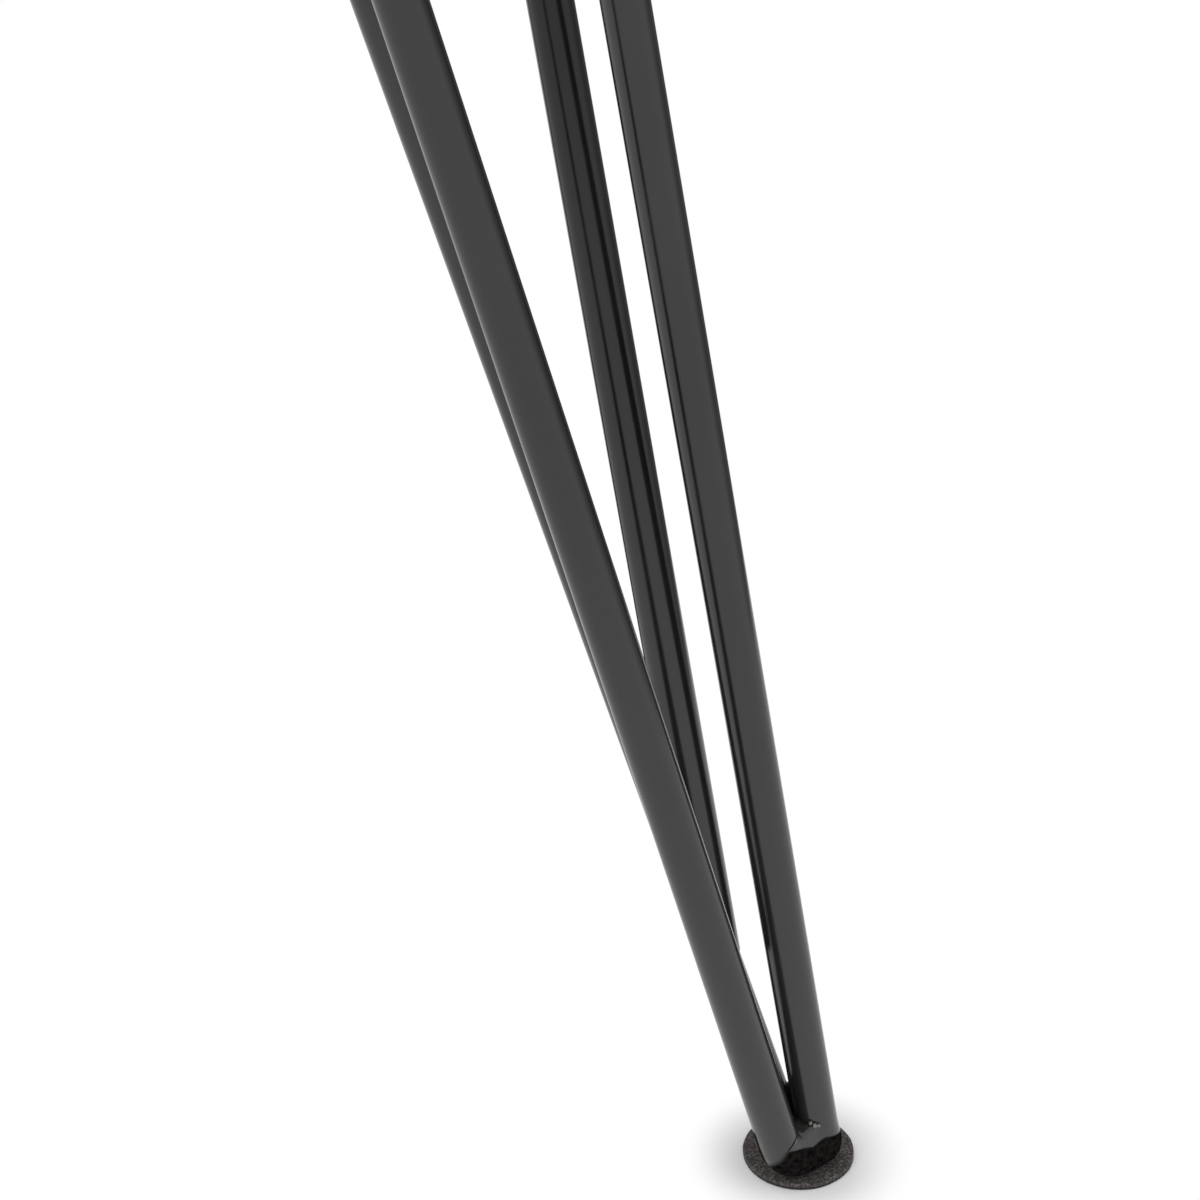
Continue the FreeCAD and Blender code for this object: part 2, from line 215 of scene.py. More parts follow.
def bendPaintedShadeNodes(tree, place, shadeMarks):
    # Masks for the painted shade and for the fold, from where a point lies against the bend
    offset = addNode(tree, "ShaderNodeVectorMath", {"operation": "SUBTRACT"},
                     {1: tuple(bendCentre)}, {0: place}).outputs["Vector"]
    across, rise, out = [dotWith(tree, axis / mm, offset)
                         for axis in (planeAcross, planeUp, planeNormal)]

    # The patch of painted shade lies below a bent line, on the bend's front and clear of the far
    # leg
    dipAcross, dipRise = shadeMarks["paintedShadeDip"]
    held = maths(tree, "MAXIMUM", across, shadeMarks["paintedShadeLevel"])
    spread = maths(tree, "ABSOLUTE", maths(tree, "SUBTRACT", held, dipAcross))
    edge = maths(tree, "MULTIPLY_ADD", spread, shadeMarks["paintedShadeSlope"], dipRise)
    beyond = maths(tree, "SUBTRACT", across, held)
    edge = maths(tree, "MULTIPLY_ADD", beyond, shadeMarks["paintedShadeFall"], edge)
    below = rescale(tree, maths(tree, "SUBTRACT", edge, rise), shadeMarks["paintedShadeEdge"], smooth=True)
    front = rescale(tree, out, shadeMarks["paintedShadeFront"], smooth=True)
    spill = maths(tree, "MULTIPLY_ADD", rise, shadeMarks["paintedShadeSideSlope"], across)
    side, blur = shadeMarks["paintedShadeSide"], shadeMarks["paintedShadeSideBlur"]
    clear = rescale(tree, spill, (side + blur, side - blur), smooth=True)
    patch = maths(tree, "MULTIPLY", maths(tree, "MULTIPLY", below, front), clear)

    # The rim of painted dark reflection lies on the back and reaches further to the front the
    # lower it is
    low = maths(tree, "MINIMUM", rise, 0.0)
    reach = maths(tree, "MULTIPLY_ADD", low, shadeMarks["rimTurn"], out)
    rim = rescale(tree, reach, shadeMarks["rimDepth"], smooth=True)
    for value, limits in ((rise, shadeMarks["rimHeight"]), (across, shadeMarks["rimSide"])):
        rim = maths(tree, "MULTIPLY", rim, rescale(tree, value, limits, smooth=True))
    paintedShadeMask = maths(tree, "MAXIMUM", patch, rim)

    # The fold's mask, for its real groove and its painted shade, goes by the distance to a
    # straight line in the hairpin's plane
    flat = addNode(tree, "ShaderNodeCombineXYZ", links={"X": across, "Y": rise}).outputs["Vector"]
    start, end = Vector((*shadeMarks["foldFrom"], 0)), Vector((*shadeMarks["foldTo"], 0))
    run = end - start
    fromStart = addNode(tree, "ShaderNodeVectorMath", {"operation": "SUBTRACT"},
                        {1: tuple(start)}, {0: flat}).outputs["Vector"]
    share = dotWith(tree, run / run.length_squared, fromStart)
    share = addNode(tree, "ShaderNodeClamp", links={"Value": share}).outputs["Result"]
    onLine = addNode(tree, "ShaderNodeVectorMath", {"operation": "SCALE"}, {0: tuple(run)},
                     {"Scale": share}).outputs["Vector"]
    away = addNode(tree, "ShaderNodeVectorMath", {"operation": "DISTANCE"},
                   links={0: fromStart, 1: onLine}).outputs["Value"]
    foldAndShade = rescale(tree, away, shadeMarks["foldWidth"], smooth=True)
    return paintedShadeMask, maths(tree, "MULTIPLY", foldAndShade, front)


# Weld spatter: bright droplets of bare steel caught on the near leg beside the fork
spatterLook = {
    "steel": "8f8d8a",
    "steelDark": "5c5a58",
    "roughness": 0.3,
    "grainWidth": 0.7,
    "grainRange": (0.35, 0.6),
    "drops": ((-1.7, 3.2, 3.9, 0.75), (-2.5, 2.5, 4.75, 0.85), (-3.5, 2.35, 5.15, 0.75)),
}


def makeBareSteel(name, look):
    material, tree = newMaterial(name)
    place = addNode(tree, "ShaderNodeTexCoord").outputs["Object"]
    grain = grainNoise(tree, place, look["grainWidth"], detail=2.0)
    low, high = look["grainRange"]
    tint = addNode(tree, "ShaderNodeValToRGB", links={"Fac": grain},
                   stops=[(low, hexColour(look["steelDark"])), (high, hexColour(look["steel"]))])
    shader = addNode(tree, "ShaderNodeBsdfPrincipled",
                     inputs={"Metallic": 1.0, "Roughness": look["roughness"]},
                     links={"Base Color": tint.outputs["Color"]})
    addNode(tree, "ShaderNodeOutputMaterial", links={"Surface": shader.outputs["BSDF"]})
    return material


def makePowderCoat(name, look, shadeMarks=None):
    material, tree = newMaterial(name)
    place = addNode(tree, "ShaderNodeTexCoord").outputs["Object"]
    peel = grainNoise(tree, place, look["orangePeelWidth"], detail=2.0, roughness=0.45)

    # The film's thickness varies slowly along the rods, and its colour and gloss with it
    cloud = grainNoise(tree, place, look["cloudWidth"], detail=3.0, roughness=0.6)
    low, high = look["cloudRange"]
    body = addNode(tree, "ShaderNodeValToRGB", links={"Fac": cloud},
                   stops=[(low, hexColour(look["body"])), (high, hexColour(look["bodyThin"]))])
    gloss = rescale(tree, cloud, look["cloudRange"], (look["roughness"], look["roughnessWorn"]))

    # Painted light: the coat is made lighter towards the floor, standing in for the pale floor's
    # light on it
    height = dotWith(tree, (0, 0, 1), place)
    paintedFloorLight = rescale(tree, height, [z * mm for z in look["paintedFloorLightHeights"]])
    colour = addNode(tree, "ShaderNodeMix", {"data_type": "RGBA"}, {7: hexColour(look["paintedFloorLight"])},
                     {0: paintedFloorLight, 6: body.outputs["Color"]}).outputs[2]
    bump = addNode(tree, "ShaderNodeBump",
                   inputs={"Strength": 1.0, "Distance": look["orangePeelHeight"] * mm},
                   links={"Height": peel})
    shader = addNode(tree, "ShaderNodeBsdfPrincipled",
                     inputs={"IOR": look["ior"], "Metallic": 0.0},
                     links={"Base Color": colour, "Roughness": gloss,
                            "Normal": bump.outputs["Normal"]})
    surface = shader.outputs["BSDF"]
    if "innerShadeHeights" in look:
        # Painted shade: the coat's reflection is turned down from the lower of these heights to
        # the upper
        innerShadeShine = rescale(tree, height, [z * mm for z in look["innerShadeHeights"]],
                        look["innerShadeLevels"])
        tree.links.new(innerShadeShine, shader.inputs["Specular IOR Level"])
    if shadeMarks:
        # Painted shade: a nearly black matt shader with no reflection is mixed in over the bend's
        # patch, rim and fold
        paintedShadeMask, foldAndShade = bendPaintedShadeNodes(tree, place, shadeMarks)
        groove = addNode(tree, "ShaderNodeBump", {"invert": True},
                         {"Strength": 1.0, "Distance": shadeMarks["foldDepth"] * mm},
                         {"Height": foldAndShade, "Normal": bump.outputs["Normal"]})
        tree.links.new(groove.outputs["Normal"], shader.inputs["Normal"])
        low, high = shadeMarks["paintedShadeGrain"]
        paintedShadeMottle = addNode(tree, "ShaderNodeValToRGB", links={"Fac": peel},
                         stops=[(low, hexColour(shadeMarks["paintedShadeDark"])),
                                (high, hexColour(shadeMarks["paintedShadeBody"]))])
        matt = addNode(tree, "ShaderNodeBsdfPrincipled",
                       inputs={"Roughness": shadeMarks["paintedShadeRoughness"], "Metallic": 0.0,
                               "IOR": look["ior"],
                               "Specular IOR Level": shadeMarks["paintedShadeSpecular"]},
                       links={"Base Color": paintedShadeMottle.outputs["Color"],
                              "Normal": bump.outputs["Normal"]})
        surface = mixShaders(tree, maths(tree, "MAXIMUM", paintedShadeMask, foldAndShade), surface,
                             matt.outputs["BSDF"])
    addNode(tree, "ShaderNodeOutputMaterial", links={"Surface": surface})
    return material


# Closed-cell EVA foam, cut from sheet: matt, nearly black, its cut cells a grey speckle
padFoamLook = {
    "cell": "211e1d",
    "body": "454040",
    "fleck": "7c7574",
    "cellWidth": 0.68,
    "cellRange": (0.30, 0.50, 0.72),
    "cellDepth": 0.12,
    "edgeDepths": (1.3, 0.9),
    "edgeShade": 0.2,
    "roughness": 0.92,
    "ior": 1.48,
}


def makePadFoam(name, look):
    material, tree = newMaterial(name)
    place = addNode(tree, "ShaderNodeTexCoord").outputs["Object"]
    cells = grainNoise(tree, place, look["cellWidth"], detail=2.5, roughness=0.65)
    tints = [hexColour(look[key]) for key in ("cell", "body", "fleck")]
    body = addNode(tree, "ShaderNodeValToRGB", links={"Fac": cells},
                   stops=list(zip(look["cellRange"], tints)))

    # Painted shade: the cut edge darkens below the pad's top face, towards the floor
    height = dotWith(tree, (0, 0, 1), place)
    edge = [legSizes["padTop"] * mm - depth * mm for depth in look["edgeDepths"]]
    shade = rescale(tree, height, edge, (look["edgeShade"], 1.0))
    shaded = addNode(tree, "ShaderNodeVectorMath", {"operation": "SCALE"}, None,
                     {0: body.outputs["Color"], "Scale": shade}).outputs["Vector"]
    bump = addNode(tree, "ShaderNodeBump",
                   inputs={"Strength": 1.0, "Distance": look["cellDepth"] * mm},
                   links={"Height": cells})
    shader = addNode(tree, "ShaderNodeBsdfPrincipled",
                     inputs={"IOR": look["ior"], "Metallic": 0.0,
                             "Roughness": look["roughness"]},
                     links={"Base Color": shaded, "Normal": bump.outputs["Normal"]})
    addNode(tree, "ShaderNodeOutputMaterial", links={"Surface": shader.outputs["BSDF"]})
    return material


powderCoat = makePowderCoat("powderCoatedSteel", powderCoatLook)
# The bend's coat carries painted shade and a painted dark reflection low on the bend
bendCoatAndShade = makePowderCoat("powderCoatedBendPaintedShade", powderCoatLook, shadeMarks=bendPaintedShade)
# The same coat over weld metal lies rougher, as it follows the bead's grain
weldCoat = makePowderCoat("powderCoatedWeld",
                          dict(powderCoatLook, roughness=0.22, orangePeelHeight=0.045))
# The fork's weld carries the same painted shade as the bend
forkCoatAndShade = makePowderCoat("powderCoatedForkWeldPaintedShade",
                          dict(powderCoatLook, orangePeelHeight=0.015),
                          shadeMarks=bendPaintedShade)
bareSteel = makeBareSteel("bareSteelSpatter", spatterLook)
# Painted shade: between the other rods the coat's reflection is turned down towards the top
innerCoatAndShade = makePowderCoat("powderCoatedInnerRodPaintedShade",
                           dict(powderCoatLook, innerShadeHeights=(-270.0, -60.0),
                                innerShadeLevels=(0.5, 0.24)))
padFoam = makePadFoam("closedCellFoam", padFoamLook)
print("materials made")

# Rods: each is skinned from rings of points along its middle line. The bend is a true arc but
# for its lower corner under the near leg, which is pressed towards a square.
rodShape = {
    "around": 96,
    "belowPlate": 40.0,
    "legHeights": (-200.0, -300.0, -360.0),
    "bendSteps": 120,
    "squareness": 18.0,
    "cornerReach": 1.15,
    "tangentStep": 0.01,
    "faceShares": (0.15, 0.3, 0.45, 0.6, 0.75, 0.9),
    "breakSteps": 5,
    "closeRings": 16,
    "lengthShares": (0.1, 0.35, 0.65),
}
roundSteps = rodShape["around"]


def crossAxes(along):
    # Two directions square to a line, taken from Y unless the line is close to it
    side = along.cross(Vector((0, 1, 0)))
    if side.length < 0.1:
        side = along.cross(Vector((1, 0, 0)))
    side.normalize()
    return side, along.cross(side).normalized()


def ringAt(centre, side, up, size):
    ring = []
    for i in range(roundSteps):
        turn = 2 * math.pi * i / roundSteps
        ring.append(centre + (side * math.cos(turn) + up * math.sin(turn)) * size)
    return ring


def cutRing(ring, along, height):
    # Slide each point of a ring along the rod until it lies in a level plane
    return [p + along * ((height - p.z) / along.z) for p in ring]


def tube(rings):
    # Skin a list of equal rings and cap both ends
    verts = [p for ring in rings for p in ring]
    faces = []
    for r in range(len(rings) - 1):
        for i in range(roundSteps):
            j = (i + 1) % roundSteps
            a, b = r * roundSteps, (r + 1) * roundSteps
            faces.append((a + i, a + j, b + j, b + i))
    faces.append(tuple(reversed(range(roundSteps))))
    last = (len(rings) - 1) * roundSteps
    faces.append(tuple(last + i for i in range(roundSteps)))
    return verts, faces


def bendExit(aim, side):
    run = (aim - bendCentre).dot(planeAcross)
    swing = math.acos(bendRadius / math.hypot(run, legRise))
    return math.atan2(legRise, run) + side * swing


def bendPoint(turn):
    return bendCentre + (planeAcross * math.cos(turn) + planeUp * math.sin(turn)) * bendRadius


nearTurn = bendExit(point("nearAim"), 1)
farTurn = bendExit(point("farAim"), -1)
nearLine = (bendPoint(nearTurn), point("nearAim"))
farLine = (bendPoint(farTurn), point("farAim"))
rearLine = (point("rearStart"), point("rearAim"))
innerLine = (point("innerStart"), point("innerAim"))


def heightPoint(line, height):
    start, end = line
    return start + (end - start) * ((height - start.z) / (end.z - start.z))


def lineFoot(p, line):
    # Closest point to p on a straight middle line
    start, end = line
    along = (end - start).normalized()
    return start + along * max(0.0, (p - start).dot(along))


def bendMiddle(turn):
    across, rise = math.cos(turn), math.sin(turn)
    if across < 0 and rise < 0:
        power = rodShape["squareness"]
        size = (abs(across) ** power + abs(rise) ** power) ** (-1 / power)
        across, rise = across * size, rise * size
        across *= 1 + (rodShape["cornerReach"] - 1) * abs(rise) * abs(across)
    return bendCentre + (planeAcross * across + planeUp * rise) * bendRadius


fullTurn = farTurn + 2 * math.pi
bendSteps = rodShape["bendSteps"]
bendTurns = [nearTurn + (fullTurn - nearTurn) * i / bendSteps for i in range(bendSteps + 1)]
bendLine = [bendMiddle(turn) for turn in bendTurns]


def hairpinFoot(p):
    # Closest point to p on the hairpin's middle line
    spots = bendLine + [lineFoot(p, nearLine), lineFoot(p, farLine)]
    return min(spots, key=lambda q: (p - q).length)


def clearOfHairpin(p, gap=0.0):
    # Move a point that lies in the hairpin rod out to its surface
    onMiddle = 1e-7
    foot = hairpinFoot(p)
    out = p - foot
    reach = radius + gap
    if out.length >= reach or out.length < onMiddle:
        return p
    return foot + out.normalized() * reach


def buildHairpinRod():
    heights = [plateUnderside, plateUnderside - rodShape["belowPlate"] * mm]
    heights += [z * mm for z in rodShape["legHeights"]]
    nudge = rodShape["tangentStep"]

    def legRings(line, outward):
        along = (line[1] - line[0]).normalized()
        rings = [ringAt(heightPoint(line, z), outward, planeNormal, radius) for z in heights]
        rings[0] = cutRing(rings[0], along, heights[0])
        return rings

    rings = legRings(nearLine, (bendCentre - nearLine[0]).normalized())
    for turn in bendTurns:
        ahead = bendMiddle(turn + nudge) - bendMiddle(turn - nudge)
        inward = planeNormal.cross(ahead).normalized()
        if inward.dot(bendCentre - bendMiddle(turn)) < 0:
            inward = inward * -1
        rings.append(ringAt(bendMiddle(turn), inward, planeNormal, radius))
    rings.extend(reversed(legRings(farLine, (bendCentre - farLine[0]).normalized())))
    verts, faces = tube(rings)
    meshPiece("hairpinRod", verts, faces, bendCoatAndShade, "hairpin_rod")


def buildStraightRod(name, line, node, coat, notched=False):
    start, end = line
    along = (end - start).normalized()
    side, up = crossAxes(along)
    breakSize = legSizes["endBreak"] * mm
    rings = []
    for share in rodShape["faceShares"]:
        rings.append(ringAt(start, side, up, (radius - breakSize) * share))
    for i in range(rodShape["breakSteps"] + 1):
        turn = math.pi / 2 * i / rodShape["breakSteps"]
        inset = breakSize * (1 - math.sin(turn))
        rise = breakSize * (1 - math.cos(turn))
        rings.append(ringAt(start + along * rise, side, up, radius - inset))
    # Rings 1 mm apart near the rod's end, and few above them
    for rise in range(1, rodShape["closeRings"] + 1):
        rings.append(ringAt(start + along * rise * mm, side, up, radius))
    length = (end - start).length
    for share in rodShape["lengthShares"]:
        rings.append(ringAt(start + along * length * share, side, up, radius))
    top = ringAt(heightPoint(line, plateUnderside), side, up, radius)
    rings.append(cutRing(top, along, plateUnderside))
    if notched:
        rings = [[clearOfHairpin(p) for p in ring] for ring in rings]
    verts, faces = tube(rings)
    meshPiece(name, verts, faces, coat, node)


buildHairpinRod()
buildStraightRod("rearRod", rearLine, "rear_rod", powderCoat, notched=True)
buildStraightRod("innerRod", innerLine, "inner_rod", innerCoatAndShade)
print("rods built")

# Fillet beads round the rods' top ends, close under the plate, laid in small overlapping
# ripples. The length of a weld's name varies its noise from the next one's.
topWeldShape = {
    "leg": 3.4,
    "rippleCount": 26,
    "rippleDepth": 0.16,
    "hollow": 0.35,
    "rootDepth": 0.4,
    "unevenness": 0.35,
    "unevenScale": 2.1,
    "steps": 144,
    "profile": 9,
}


def buildTopWeld(name, line, node, shape):
    start, end = line
    along = (end - start).normalized()
    side, up = crossAxes(along)
    steps, profile = shape["steps"], shape["profile"]
    verts = []
    for i in range(steps):
        turn = 2 * math.pi * i / steps
        out = side * math.cos(turn) + up * math.sin(turn)
        root = heightPoint(line, plateUnderside) + out * radius
        root = root + along * ((plateUnderside - root.z) / along.z)
        flat = Vector((out.x, out.y, 0)).normalized()
        ripple = abs(math.sin(shape["rippleCount"] * turn / 2))
        spot = Vector((out.x * shape["unevenScale"], out.y * shape["unevenScale"], len(name)))
        leg = (shape["leg"] + shape["unevenness"] * noise.noise(spot)) * mm
        low = root - along * leg
        wide = root + flat * leg
        outward = (flat - along).normalized()
        verts.append(root - flat * shape["rootDepth"] * mm)
        for k in range(profile):
            share = k / (profile - 1)
            lift = shape["rippleDepth"] * ripple - shape["hollow"]
            lift = lift * math.sin(math.pi * share) * mm
            verts.append(low.lerp(wide, share) + outward * lift)
    per = profile + 1
    faces = []
    for i in range(steps):
        j = (i + 1) % steps
        for k in range(per):
            m = (k + 1) % per
            faces.append((i * per + k, j * per + k, j * per + m, i * per + m))
    meshPiece(name, verts, faces, weldCoat, node)


for name, line, node in (("hairpinNearWeld", nearLine, "hairpin_near_weld"),
                         ("hairpinFarWeld", farLine, "hairpin_far_weld"),
                         ("rearRodTopWeld", rearLine, "rear_rod_top_weld"),
                         ("innerRodTopWeld", innerLine, "inner_rod_top_weld")):
    buildTopWeld(name, line, node, topWeldShape)
print("top welds built")

# Short beads at the foot: a lumpy tube with rounded ends along the groove that it fills. The
# length of the name varies the lumps here too.
beadShape = {
    "steps": 40,
    "endLength": 0.8,
    "endStart": 0.12,
    "lump": 0.18,
    "lumpScale": 1.3,
    "lumpTravel": 400.0,
    "thinnest": 0.05,
    "taper": 0.0,
}
footWeldShape = dict(beadShape, radius=2.5, length=9.0, out=0.62, ripple=0.14, rippleStep=1.3)
innerWeldShape = dict(beadShape, radius=6.0, length=7.0, ontoRod=1.0, ripple=0.2,
                      rippleStep=1.8, taper=0.25)

# The fork's weld lies nearly flush with the legs' front and blends into both of them
forkWeldShape = {
    "across": 5.2,
    "bottom": -5.2,
    "top": 2.8,
    "front": 5.3,
    "back": -3.4,
    "cells": (56, 44),
    "round": 1.2,
    "steep": 3.0,
    "slant": 0.25,
    "slantFrom": -2.4,
    "blend": 0.32,
    "sunk": 0.05,
    "wave": 0.05,
    "waveScale": 0.9,
    "waveSlice": 3.0,
    "pit": (2.2, 1.2),
    "pitDepth": 0.9,
    "pitWidth": 0.55,
}


def ball(centre, size):
    # Small round droplet as its own closed shell
    verts = [centre + Vector((0, 0, size)), centre - Vector((0, 0, size))]
    faces = []
    rows, columns = 8, 16
    for r in range(1, rows):
        tilt = math.pi * r / rows
        for c in range(columns):
            turn = 2 * math.pi * c / columns
            verts.append(centre + Vector((math.sin(tilt) * math.cos(turn),
                                          math.sin(tilt) * math.sin(turn),
                                          math.cos(tilt))) * size)
    for c in range(columns):
        d = (c + 1) % columns
        faces.append((0, 2 + c, 2 + d))
        last = 2 + (rows - 2) * columns
        faces.append((1, last + d, last + c))
        for r in range(rows - 2):
            a, b = 2 + r * columns, 2 + (r + 1) * columns
            faces.append((a + c, b + c, b + d, a + d))
    return verts, faces


def buildBead(name, start, end, node, shape):
    along = (end - start).normalized()
    side, up = crossAxes(along)
    length = (end - start).length
    size = shape["radius"] * mm
    rings = []
    for i in range(shape["steps"] + 1):
        share = i / shape["steps"]
        travel = share * length
        centre = start + along * travel
        # Rounded ends, then ripples, then slow lumps
        nearEnd = min(travel, length - travel) / (size * shape["endLength"])
        swell = math.sin(math.pi / 2 * min(1.0, nearEnd + shape["endStart"]))
        ripple = abs(math.sin(math.pi * travel / (shape["rippleStep"] * mm)))
        ring = []
        for p in ringAt(centre, side, up, 1.0):
            out = p - centre
            spot = out * shape["lumpScale"]
            spot += Vector((travel * shape["lumpTravel"], len(name), 0))
            rough = shape["ripple"] * (ripple - 0.5) + shape["lump"] * noise.noise(spot)
            grow = size * (1 - shape["taper"] * (1 - share)) * swell + rough * mm * swell
            ring.append(centre + out * max(grow, shape["thinnest"] * mm))
        rings.append(ring)
    verts, faces = tube(rings)
    meshPiece(name, verts, faces, weldCoat, node, sharpAngle=70)


def forkFront(across, rise, shape):
    # How far the fork's weld stands out of the plane, blended into the rods beside it
    spot = bendPlace(across, rise, 0)
    away = (spot - hairpinFoot(spot)).length
    tubeFront = math.sqrt(max(0.0, radius ** 2 - away ** 2)) / mm
    slant = shape["slant"] * max(0.0, across - shape["slantFrom"])
    past = max(0.0, rise + slant - (shape["top"] - shape["round"]))
    drop = shape["round"] - math.sqrt(max(0.0, shape["round"] ** 2 - past ** 2))
    drop += shape["steep"] * max(0.0, past - shape["round"])
    pitAcross, pitRise = shape["pit"]
    fromPit = (across - pitAcross) ** 2 + (rise - pitRise) ** 2
    drop += shape["pitDepth"] * math.exp(-fromPit / shape["pitWidth"] ** 2)
    web = shape["front"] - drop
    scale = shape["waveScale"]
    web += shape["wave"] * noise.noise(Vector((across * scale, rise * scale,
                                               shape["waveSlice"])))
    blend = shape["blend"]
    higher = max(tubeFront, web)
    rest = math.exp(-abs(tubeFront - web) / blend)
    return higher + blend * math.log(1 + rest) - shape["sunk"]


def buildForkWeld(shape, drops):
    wide, tall = shape["cells"]
    verts = []
    for level in ("front", "back"):
        for j in range(tall + 1):
            rise = shape["bottom"] + (shape["top"] - shape["bottom"]) * j / tall
            for i in range(wide + 1):
                across = shape["across"] * (2 * i / wide - 1)
                out = forkFront(across, rise, shape) if level == "front" else shape["back"]
                verts.append(bendPlace(across, rise, out))
    row = wide + 1
    behind = row * (tall + 1)
    faces = []
    for j in range(tall):
        for i in range(wide):
            a = j * row + i
            faces.append((a, a + 1, a + row + 1, a + row))
            faces.append((behind + a, behind + a + row, behind + a + row + 1, behind + a + 1))
    rim = list(range(wide))
    rim += [j * row + wide for j in range(tall)]
    rim += [tall * row + i for i in range(wide, 0, -1)]
    rim += [j * row for j in range(tall, 0, -1)]
    for k, a in enumerate(rim):
        b = rim[(k + 1) % len(rim)]
        faces.append((a, behind + a, behind + b, b))
    webFaces = len(faces)
    for across, rise, out, dropSize in drops:
        dropVerts, dropFaces = ball(bendPlace(across, rise, out), dropSize * mm)
        faces.extend(tuple(len(verts) + v for v in face) for face in dropFaces)
        verts.extend(dropVerts)
    web = meshPiece("forkWeld", verts, faces, forkCoatAndShade, "fork_weld",
                    sharpAngle=70)
    web.data.materials.append(bareSteel)
    for polygon in web.data.polygons[webFaces:]:
        polygon.material_index = 1


def buildFootWeld(name, line, node, shape):
    ends = []
    for z in (bendCentre.z, bendCentre.z + shape["length"] * mm):
        onLeg = heightPoint(line, z)
        onRear = heightPoint(rearLine, z)
        outward = Vector((0, 0, 1)).cross(onRear - onLeg).normalized()
        if (onLeg - onRear).x * outward.x < 0:
            outward = outward * -1
        ends.append((onLeg + onRear) * 0.5 + outward * radius * shape["out"])
    buildBead(name, ends[0], ends[1], node, shape)


buildFootWeld("footWeldNear", nearLine, "foot_weld_near", footWeldShape)
buildFootWeld("footWeldFar", farLine, "foot_weld_far", footWeldShape)

buildForkWeld(forkWeldShape, spatterLook["drops"])

innerAlong = (innerLine[1] - innerLine[0]).normalized()
buildBead("innerRodWeld", innerLine[0] - innerAlong * innerWeldShape["length"] * mm,
          innerLine[0] + innerAlong * innerWeldShape["ontoRod"] * mm, "inner_rod_weld",
          innerWeldShape)
print("foot welds built")

# Foot pad: die-cut foam disc with a soft edge, pressed down where the bend stands on it
footPadShape = {
    "centre": (-61.6, 89.6),
    "bottom": -400.0,
    "top": -398.0,
    "radius": 16.0,
    "edge": 0.45,
    "edgeSteps": 6,
    "around": 240,
    "ringStep": 0.5,
    "ringCount": 30,
    "lastRing": 14.8,
    "waviness": 0.18,
    "wavinessScale": 1.7,
    "grain": 0.05,
    "grainScale": 0.35,
    "grainShift": 7.0,
    "pressGap": 0.01,
}


def buildFootPad(shape):
    centre = Vector((shape["centre"][0], shape["centre"][1], 0)) * mm
    around = shape["around"]
    outer, edge = shape["radius"], shape["edge"]
    flatRadii = [shape["ringStep"] * k for k in range(shape["ringCount"])]
    profile = [(r, shape["top"]) for r in flatRadii + [shape["lastRing"]]]
    turns = [math.pi / 2 * i / shape["edgeSteps"] for i in range(shape["edgeSteps"] + 1)]
    for turn in turns:
        profile.append((outer - edge + edge * math.sin(turn),
                        shape["top"] - edge + edge * math.cos(turn)))
    for turn in turns:
        profile.append((outer - edge + edge * math.cos(turn),
                        shape["bottom"] + edge - edge * math.sin(turn)))
    profile.append((0.0, shape["bottom"]))
    verts = []
    for r, z in profile[1:-1]:
        for i in range(around):
            turn = 2 * math.pi * i / around
            out = Vector((math.cos(turn), math.sin(turn), 0))
            # The cut wavers most at the rim, and the top face has a shallow grain
            wander = abs(noise.noise(out * shape["wavinessScale"]))
            sway = wander * shape["waviness"] * (r / outer) ** 3
            grainSpot = out * r * shape["grainScale"] + Vector((shape["grainShift"], 0, 0))
            tilt = noise.noise(grainSpot) * shape["grain"]
            height = z
            if z > shape["bottom"] + edge:
                height = z + tilt - shape["grain"] * 0.5
            spot = centre + out * (r - sway) * mm + Vector((0, 0, height * mm))
            if z == shape["top"]:
                spot = clearOfHairpin(spot, gap=shape["pressGap"] * mm)
            verts.append(spot)
    rings = len(profile) - 2
    faces = []
    for k in range(rings - 1):
        for i in range(around):
            j = (i + 1) % around
            faces.append((k * around + i, k * around + j, (k + 1) * around + j,
                          (k + 1) * around + i))
    topCentre = len(verts)
    verts.append(clearOfHairpin(centre + Vector((0, 0, shape["top"] * mm))))
    bottomCentre = len(verts)
    verts.append(centre + Vector((0, 0, shape["bottom"] * mm)))
    last = (rings - 1) * around
    for i in range(around):
        j = (i + 1) % around
        faces.append((topCentre, i, j))
        faces.append((bottomCentre, last + j, last + i))
    return meshPiece("footPad", verts, faces, padFoam, "foot_pad")


footPad = buildFootPad(footPadShape)
print("foot pad built")

# The plate shows as the CAD made it, with its countersunk holes
plateSharpAngle = 35
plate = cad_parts["mounting_plate"]
plate.data.materials.clear()
plate.data.materials.append(powderCoat)
for polygon in plate.data.polygons:
    polygon.use_smooth = True
plate.data.set_sharp_from_angle(angle=math.radians(plateSharpAngle))

# White floor and a soft white surround that is darker on one side behind the leg. Seen by the
# camera, both are plain white but for the shadow close to the foot.
stageLook = {
    "floor": "ffffff",
    "floorRoughness": 0.9,
    "floorSize": 1.5,
    "shadowFade": (0.0165, 0.034),
    "surround": 1.0,
    "dim": 0.22,
    "dimToward": (-0.93, -0.36, 0.08),
    "dimReach": (0.35, 0.95),
}


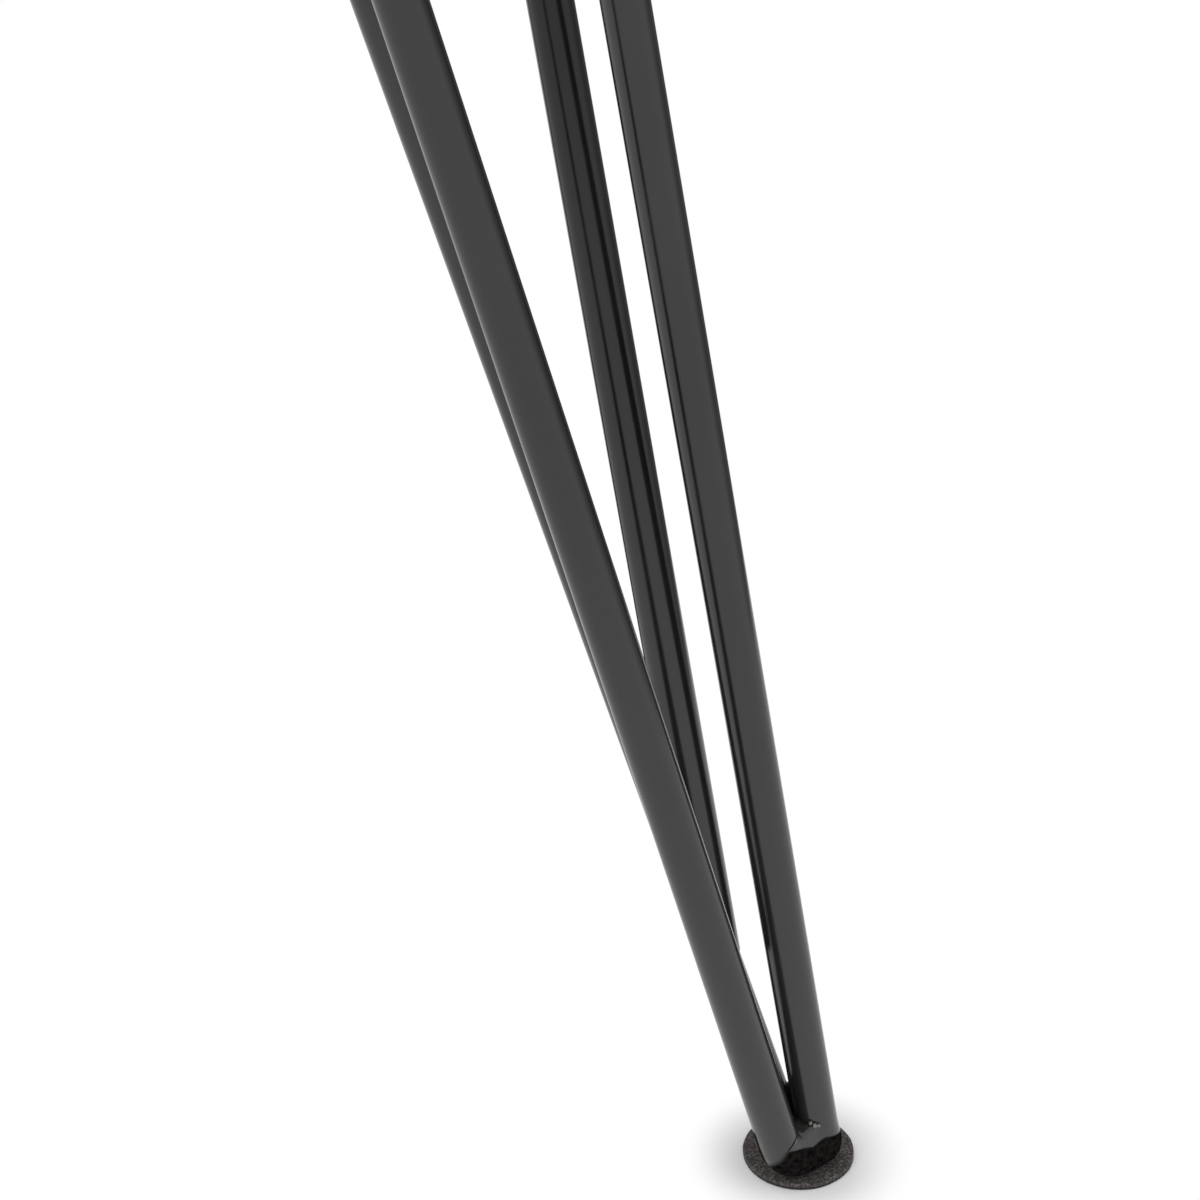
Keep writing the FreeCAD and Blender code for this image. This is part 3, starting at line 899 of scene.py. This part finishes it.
def buildFloor(look):
    mesh = bpy.data.meshes.new("floor")
    half = look["floorSize"] / 2
    level = footPadShape["bottom"] * mm
    foot = Vector((*footPadShape["centre"], 0)) * mm
    corners = [(foot.x + x * half, foot.y + y * half, level)
               for x, y in ((-1, -1), (1, -1), (1, 1), (-1, 1))]
    mesh.from_pydata(corners, [], [(0, 1, 2, 3)])
    floor = bpy.data.objects.new("floor", mesh)
    bpy.context.scene.collection.objects.link(floor)
    material, tree = newMaterial("paintedFloor")
    matt = addNode(tree, "ShaderNodeBsdfPrincipled",
                   inputs={"Base Color": hexColour(look["floor"]),
                           "Roughness": look["floorRoughness"],
                           "Specular IOR Level": 0.0}).outputs["BSDF"]
    # Away from the foot the floor turns into the plain white of the backdrop
    place = addNode(tree, "ShaderNodeTexCoord").outputs["Object"]
    away = addNode(tree, "ShaderNodeVectorMath", {"operation": "DISTANCE"},
                   {1: (foot.x, foot.y, level)}, {0: place}).outputs["Value"]
    fade = rescale(tree, away, look["shadowFade"], smooth=True)
    white = addNode(tree, "ShaderNodeEmission", inputs={"Strength": 1.0}).outputs["Emission"]
    path = addNode(tree, "ShaderNodeLightPath").outputs
    seen = maths(tree, "MULTIPLY", fade, path["Is Camera Ray"])
    base = mixShaders(tree, seen, matt, white)
    surface = mixShaders(tree, path["Is Glossy Ray"], base, white)
    addNode(tree, "ShaderNodeOutputMaterial", links={"Surface": surface})
    mesh.materials.append(material)


def buildSurround(look):
    world = bpy.data.worlds.new("studio")
    world.use_nodes = True
    tree = world.node_tree
    tree.nodes.clear()
    heading = addNode(tree, "ShaderNodeTexCoord").outputs["Generated"]
    facing = dotWith(tree, Vector(look["dimToward"]).normalized(), heading)
    level = rescale(tree, facing, look["dimReach"], (look["surround"], look["dim"]),
                    smooth=True)
    soft = addNode(tree, "ShaderNodeBackground", inputs={"Color": (1, 1, 1, 1)},
                   links={"Strength": level}).outputs["Background"]
    white = addNode(tree, "ShaderNodeBackground",
                    inputs={"Color": (1, 1, 1, 1), "Strength": 1.0}).outputs["Background"]
    path = addNode(tree, "ShaderNodeLightPath").outputs
    surface = mixShaders(tree, path["Is Camera Ray"], soft, white)
    addNode(tree, "ShaderNodeOutputWorld", links={"Surface": surface})
    bpy.context.scene.world = world


buildFloor(stageLook)
buildSurround(stageLook)

# Photo's viewpoint: a 45 mm lens close to the leg, looking down towards its foot
cameraPlace = {
    "location": (169.726, 376.411, -111.089),
    "forward": (-0.499175, -0.811521, -0.303740),
    "down": (0.215384, 0.223328, -0.950649),
    "lens": 44.998,
}


def buildCamera(place):
    data = bpy.data.cameras.new("photoCamera")
    data.sensor_width = 36.0
    data.lens = place["lens"]
    data.clip_start = 0.01
    data.clip_end = 100.0
    camera = bpy.data.objects.new("photoCamera", data)
    bpy.context.scene.collection.objects.link(camera)
    back = Vector(place["forward"]).normalized() * -1
    up = (Vector(place["down"]) * -1).normalized()
    right = up.cross(back).normalized()
    up = back.cross(right)
    turn = Matrix((right, up, back)).transposed()
    camera.matrix_world = Matrix.Translation(Vector(place["location"]) * mm) @ turn.to_4x4()
    bpy.context.scene.camera = camera


buildCamera(cameraPlace)
bpy.context.scene.view_settings.view_transform = "Standard"
bpy.context.view_layer.update()
print("stage and camera ready")
